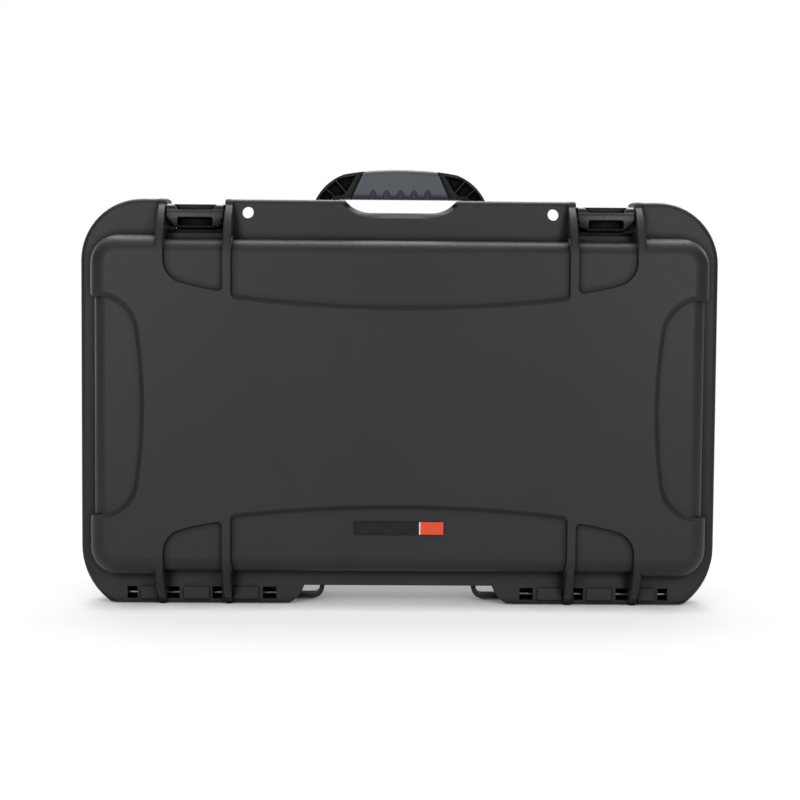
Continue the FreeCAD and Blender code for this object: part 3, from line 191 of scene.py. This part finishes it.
class Finish(Nodes):
    """A material under construction, with the patterns that finishes are made of."""

    def __init__(self, name):
        self.material = bpy.data.materials.new(name)
        self.material.use_nodes = True
        super().__init__(self.material.node_tree)
        self.shader = self.tree.nodes["Principled BSDF"]
        self.place = self.add("ShaderNodeTexCoord").outputs["Object"]

    def set(self, name, value):
        """Feeds one socket of the shader."""
        self.feed(self.shader.inputs[name], value)

    def noise(self, scale, detail, stretch=None):
        """Smooth noise by place, drawn out along an axis where a stretch is given."""
        place = self.place
        if stretch:
            mapping = self.add("ShaderNodeMapping")
            mapping.inputs["Scale"].default_value = stretch
            self.feed(mapping.inputs["Vector"], place)
            place = mapping.outputs["Vector"]
        node = self.add("ShaderNodeTexNoise")
        self.wire(node, {"Vector": place, "Scale": scale, "Detail": detail})
        return node.outputs["Fac"]

    def cells(self, scale):
        """Small rounded cells, as in an etched mould."""
        node = self.add("ShaderNodeTexVoronoi", feature="SMOOTH_F1")
        self.wire(node, {"Vector": self.place, "Scale": scale, "Smoothness": CELL_SMOOTHNESS})
        return node.outputs["Distance"]

    def soft_edges(self, radius):
        """Normals that round the edges, and a mask that is 1 on them."""
        bevel = self.add("ShaderNodeBevel", samples=EDGE_SAMPLES)
        self.feed(bevel.inputs["Radius"], radius)
        flat = self.add("ShaderNodeNewGeometry")
        across = self.add("ShaderNodeVectorMath", operation="DOT_PRODUCT")
        self.feed(across.inputs[0], bevel.outputs["Normal"])
        self.feed(across.inputs[1], flat.outputs["Normal"])
        return bevel.outputs["Normal"], self.spread(across.outputs["Value"], 1, 0, *EDGE_COSINES)

    def openness(self, distance, strength):
        """1 on open surfaces, falling towards 0 in corners and narrow gaps."""
        node = self.add("ShaderNodeAmbientOcclusion", samples=CORNER_SAMPLES)
        self.feed(node.inputs["Distance"], distance)
        return self.maths("POWER", node.outputs["AO"], strength)

    def uneven(self, level, patches, patch_swing, specks, speck_swing):
        """A level that swings with a slow pattern and a fine one."""
        slow = self.spread(patches, level - patch_swing, level + patch_swing)
        return self.maths("ADD", slow, self.spread(specks, -speck_swing, speck_swing))

    def bump(self, normal, height, strength, depth):
        """The normal of a surface that a pattern raises."""
        node = self.add("ShaderNodeBump")
        self.wire(node, {"Normal": normal, "Height": height, "Strength": strength, "Distance": depth})
        return node.outputs["Normal"]


def lighter(colour, share):
    """A colour moved towards white."""
    return tuple(channel + (1 - channel) * share for channel in colour)


def darker(colour, share):
    """A colour moved towards black."""
    return tuple(channel * (1 - share) for channel in colour)


def moulded_plastic(name, colour, rough, grain=900, grain_strength=0.25, edge=0.0011, gloss=0.19,
                    corner=0.007, shade_power=1.6):
    """Moulded plastic: etched grain, slow changes of gloss and tone, paler worn edges and painted shade in
    corners.

    The grain is in cells along a metre. Edge says how far the worn paleness reaches, corner how far the
    painted shade reaches.
    """
    finish = Finish(name)
    patches = finish.noise(PLASTIC_PATCHES, detail=4)
    specks = finish.noise(PLASTIC_SPECKS, detail=2)
    edge_normal, edge_mask = finish.soft_edges(edge)
    rubbed = finish.spread(finish.noise(PLASTIC_WEAR, detail=4), low=0.2, high=1)
    wear = finish.maths("MULTIPLY", edge_mask, rubbed)
    tone = finish.mix(finish.spread(patches, 0, 1), colour, lighter(colour, PATCH_PALENESS))
    worn = finish.mix(wear, tone, lighter(colour, WEAR_PALENESS))
    # Painted shade: the colour is darkened in corners, creases and pockets, and their reflections are dimmed,
    # by ambient occlusion.
    openness = finish.openness(corner, shade_power)
    finish.set("Base Color", finish.mix(openness, darker(colour, PLASTIC_PAINTED_SHADE), worn))
    matt = finish.uneven(rough, patches, patch_swing=0.03, specks=specks, speck_swing=0.02)
    finish.set("Roughness", finish.maths("SUBTRACT", matt, finish.maths("MULTIPLY", wear, WEAR_POLISH)))
    finish.set("IOR", 1.49)
    finish.set("Specular IOR Level", finish.maths("MULTIPLY", openness, gloss))
    grained = finish.bump(edge_normal, finish.cells(grain), grain_strength, GRAIN_DEPTH)
    finish.set("Normal", finish.bump(grained, specks, strength=0.1, depth=SPECK_DEPTH))
    return finish.material


def soft_rubber(name, colour, rough):
    """Soft rubber: a matt skin with a slight bloom and fine pebbles."""
    finish = Finish(name)
    patches = finish.noise(RUBBER_PATCHES, detail=4)
    specks = finish.noise(RUBBER_SPECKS, detail=2)
    edge_normal, edge_mask = finish.soft_edges(RUBBER_EDGE)
    tone = finish.mix(finish.spread(patches, 0, 1), colour, lighter(colour, share=0.02))
    finish.set("Base Color", finish.mix(edge_mask, tone, lighter(colour, share=0.035)))
    finish.set("Roughness", finish.uneven(rough, patches, patch_swing=0.04, specks=specks, speck_swing=0.03))
    finish.set("IOR", 1.5)
    finish.set("Sheen Weight", 0.12)
    finish.set("Sheen Roughness", 0.45)
    pebbled = finish.bump(edge_normal, finish.cells(RUBBER_PEBBLES), strength=0.3, depth=PEBBLE_DEPTH)
    finish.set("Normal", finish.bump(pebbled, specks, strength=0.12, depth=SPECK_DEPTH))
    return finish.material


def drawn_metal(name, colour, rough, stretch):
    """Drawn or turned metal: fine lines along the bar, uneven gloss, bright edges and painted shade in
    corners.
    """
    finish = Finish(name)
    lines = finish.noise(METAL_LINES, detail=2, stretch=stretch)
    patches = finish.noise(METAL_PATCHES, detail=3)
    edge_normal, edge_mask = finish.soft_edges(METAL_EDGE)
    tone = finish.mix(finish.spread(lines, 0, 1), colour, lighter(colour, share=0.05))
    bright = finish.mix(edge_mask, tone, lighter(colour, share=0.2))
    # Painted shade: the colour is darkened in corners and hollows by ambient occlusion.
    openness = finish.openness(distance=0.01, strength=1.6)
    finish.set("Base Color", finish.mix(openness, darker(colour, METAL_PAINTED_SHADE), bright))
    finish.set("Roughness", finish.uneven(rough, patches, patch_swing=0.05, specks=lines, speck_swing=0.05))
    finish.set("Metallic", 1)
    finish.set("Normal", finish.bump(edge_normal, lines, strength=0.12, depth=LINE_DEPTH))
    return finish.material


def printed_plate(name, colour, rough):
    """A smooth printed plate with faint handling marks."""
    finish = Finish(name)
    patches = finish.noise(PRINT_PATCHES, detail=3)
    marks = finish.noise(PRINT_MARKS, detail=2, stretch=(1, 1, 0.15))
    finish.set("Base Color", finish.mix(finish.spread(patches, 0, 1), colour, lighter(colour, share=0.004)))
    finish.set("Roughness", finish.uneven(rough, patches, patch_swing=0.03, specks=marks, speck_swing=0.025))
    finish.set("Specular IOR Level", 0.18)
    edge_normal = finish.soft_edges(PRINT_EDGE)[0]
    finish.set("Normal", finish.bump(edge_normal, marks, strength=0.02, depth=MARK_DEPTH))
    return finish.material


def make_finishes():
    """One material for each slot of the record, and one for the badge's pale line."""
    return {
        "case_plastic": moulded_plastic("case_plastic", CASE_BLACK, rough=0.46),
        "latch_plastic": moulded_plastic("latch_plastic", LATCH_BLACK, rough=0.28, grain=1100,
                                         grain_strength=0.05, gloss=0.36, corner=0.014, shade_power=3),
        "fitting_plastic": moulded_plastic("fitting_plastic", FITTING_BLACK, rough=0.4, grain=1000,
                                           gloss=0.14, corner=0.014, shade_power=3),
        "button_plastic": moulded_plastic("button_plastic", BUTTON_BLACK, rough=0.33,
                                          grain_strength=0.08, edge=0.0006),
        "hub_plastic": moulded_plastic("hub_plastic", HUB_GREY, rough=0.44,
                                       grain_strength=0.15, edge=0.0008),
        "grip_rubber": soft_rubber("grip_rubber", GRIP_GREY, rough=0.55),
        "seal_rubber": soft_rubber("seal_rubber", SEAL_BLACK, rough=0.6),
        "wheel_rubber": soft_rubber("wheel_rubber", TYRE_BLACK, rough=0.58),
        "pin_steel": drawn_metal("pin_steel", STEEL_GREY, rough=0.3, stretch=(0.04, 1, 1)),
        "tube_metal": drawn_metal("tube_metal", TUBE_GREY, rough=0.34, stretch=(0.03, 1, 1)),
        "badge_dark": printed_plate("badge_dark", BADGE_BLACK, rough=0.305),
        "badge_colour": printed_plate("badge_colour", BADGE_RED, rough=0.325),
        "badge_light": printed_plate("badge_light", BADGE_WHITE, rough=0.355),
    }


def dress_nodes(finishes):
    """Gives each CAD node the finish of its slot."""
    for part in frame["record"]["subparts"]:
        node = frame["nodes"][part["node"]]
        node.data.materials.clear()
        node.data.materials.append(finishes[part["material_slot"]])


def strip(name, low, high, bevel):
    """A flat strip between two corners, with a small bevel round its edges."""
    mesh = bpy.data.meshes.new(name)
    form = bmesh.new()
    bmesh.ops.create_cube(form, size=1)
    fit = Matrix.Translation((low + high) / 2) @ Matrix.Diagonal((*(high - low), 1))
    bmesh.ops.transform(form, matrix=fit, verts=form.verts)
    bmesh.ops.bevel(form, geom=form.edges[:], offset=bevel, segments=2, affect="EDGES", profile=0.5)
    form.to_mesh(mesh)
    form.free()
    piece = bpy.data.objects.new(name, mesh)
    scene.collection.objects.link(piece)
    return piece


def add_badge_trim(finishes):
    """The pale line between the badge's dark plate and its coloured tile."""
    low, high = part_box("badge_tile")
    half = BADGE_LINE_WIDTH / 2
    piece = strip("badge_line", Vector((low.x - half, low.y - BADGE_LINE_PROUD, low.z)),
                  Vector((low.x + half, high.y - BADGE_LINE_PROUD, high.z)), BADGE_LINE_PROUD / 2)
    piece.data.materials.append(finishes["badge_light"])
    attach(piece, "lid")


def seen_rays(nodes):
    """1 for rays from the camera, shiny surfaces and clear ones, and 0 for light that bounces."""
    path = nodes.add("ShaderNodeLightPath")
    mask = path.outputs["Is Camera Ray"]
    for name in ("Is Glossy Ray", "Is Transmission Ray"):
        mask = nodes.maths("MAXIMUM", mask, path.outputs[name])
    return mask


def make_floor_finish():
    """Matt white, its shadow lifted by a painted glow and deepened by painted contact shade, turning into the
    white background away from the case.
    """
    finish = Finish("floor")
    finish.material.cycles.emission_sampling = "NONE"
    seen = seen_rays(finish)
    patches = finish.spread(finish.noise(FLOOR_PATCHES, detail=3), 0, 1)
    tone = finish.mix(patches, FLOOR_WHITE, lighter(FLOOR_WHITE, share=0.1))
    finish.set("Base Color", finish.mix(seen, FLOOR_GREY, tone))
    finish.set("Roughness", 0.9)
    finish.set("Specular IOR Level", 0.1)
    reach = finish.add("ShaderNodeVectorMath", operation="LENGTH")
    finish.feed(reach.inputs[0], finish.place)
    # Painted light: for the camera a white glow is mixed in, which lifts the shadow near the case and fades
    # to white away from it.
    away = finish.spread(reach.outputs["Value"], FLOOR_LIFT, 1, *FLOOR_FADE)
    # Painted shadow: ambient occlusion weakens the glow right by the case, darkening the floor where it meets
    # the case.
    lift = finish.maths("MULTIPLY", away, finish.openness(FLOOR_CONTACT, strength=0.9))
    white = finish.add("ShaderNodeEmission")
    blend = finish.add("ShaderNodeMixShader")
    finish.feed(blend.inputs["Fac"], finish.maths("MULTIPLY", lift, seen))
    finish.feed(blend.inputs[1], finish.shader.outputs["BSDF"])
    finish.feed(blend.inputs[2], white.outputs["Emission"])
    finish.feed(finish.tree.nodes["Material Output"].inputs["Surface"], blend.outputs["Shader"])
    return finish.material


def add_floor():
    """A wide square floor under the case."""
    corners = [(FLOOR_REACH * x, FLOOR_REACH * y, 0) for x, y in ((-1, -1), (1, -1), (1, 1), (-1, 1))]
    mesh = bpy.data.meshes.new("floor")
    mesh.from_pydata(corners, [], [range(len(corners))])
    mesh.materials.append(make_floor_finish())
    floor = bpy.data.objects.new("floor", mesh)
    scene.collection.objects.link(floor)


def surroundings(nodes):
    """1 for the camera and for reflections from behind and above, less for those from sides and front."""
    parts = nodes.add("ShaderNodeSeparateXYZ")
    nodes.feed(parts.inputs["Vector"], nodes.add("ShaderNodeTexCoord").outputs["Generated"])
    from_sides = nodes.spread(nodes.maths("ABSOLUTE", parts.outputs["X"]), 1, SIDE_DARKNESS, *SIDE_START)
    from_front = nodes.spread(parts.outputs["Y"], FRONT_DARKNESS, 1, *FRONT_START)
    camera = nodes.add("ShaderNodeLightPath").outputs["Is Camera Ray"]
    return nodes.maths("MAXIMUM", nodes.maths("MULTIPLY", from_sides, from_front), camera)


def add_world():
    """White for the camera, dimmer to the sides and front for reflections, and a soft light for the rest."""
    world = bpy.data.worlds.new("studio")
    world.use_nodes = True
    nodes = Nodes(world.node_tree)
    level = nodes.spread(seen_rays(nodes), WORLD_LIGHT, surroundings(nodes), start=0, end=1)
    nodes.wire(world.node_tree.nodes["Background"], {"Color": PLAIN_WHITE, "Strength": level})
    scene.world = world


def add_lamp(name, place, width, height, power, colour=PLAIN_WHITE):
    """A soft rectangular lamp that faces the case."""
    lamp = bpy.data.lights.new(name, "AREA")
    lamp.shape = "RECTANGLE"
    lamp.size = width
    lamp.size_y = height
    lamp.energy = power
    lamp.color = colour
    item = bpy.data.objects.new(name, lamp)
    item.location = place
    item.rotation_euler = (LAMP_TARGET - item.location).to_track_quat("-Z", "Y").to_euler()
    scene.collection.objects.link(item)


def add_lights():
    """Soft lamps above, behind, beside the camera and behind the two ends, cooler left and warmer right."""
    add_lamp("lamp_above", place=(0, 0.35, 1.5), width=1.4, height=0.5, power=20)
    add_lamp("lamp_back", place=(0, 1.1, 1.4), width=1.8, height=0.8, power=29)
    add_lamp("lamp_left", place=(-0.66, -1.53, 0.55), width=0.4, height=0.9, power=11.8, colour=COOL_WHITE)
    add_lamp("lamp_right", place=(0.66, -1.53, 0.55), width=0.4, height=0.9, power=10.7, colour=WARM_WHITE)
    add_lamp("lamp_rim_left", place=(-1.35, 1.1, 0.5), width=0.5, height=1.0, power=3)
    add_lamp("lamp_rim_right", place=(1.35, 1.1, 0.9), width=0.5, height=0.5, power=2.5)


def add_camera():
    """A camera at the photograph's place and angle."""
    pitch, yaw, roll = (math.radians(angle) for angle in (CAMERA_PITCH, CAMERA_YAW, CAMERA_ROLL))
    ahead = Vector((math.sin(yaw) * math.cos(pitch), math.cos(yaw) * math.cos(pitch), -math.sin(pitch)))
    level = Vector((math.cos(yaw), -math.sin(yaw), 0))
    upright = level.cross(ahead)
    right = level * math.cos(roll) + upright * math.sin(roll)
    up = upright * math.cos(roll) - level * math.sin(roll)
    turn = Matrix((right, up, -ahead)).transposed().to_4x4()
    data = bpy.data.cameras.new("camera")
    data.sensor_width = SENSOR_WIDTH
    data.lens = FOCAL_PIXELS / FRAME_PIXELS * SENSOR_WIDTH
    data.clip_end = CAMERA_REACH
    camera = bpy.data.objects.new("camera", data)
    camera.matrix_world = Matrix.Translation(CAMERA_PLACE) @ turn
    scene.collection.objects.link(camera)
    scene.camera = camera


scene.view_settings.view_transform = "Standard"
finishes = make_finishes()
dress_nodes(finishes)
add_badge_trim(finishes)
add_floor()
add_world()
add_lights()
add_camera()
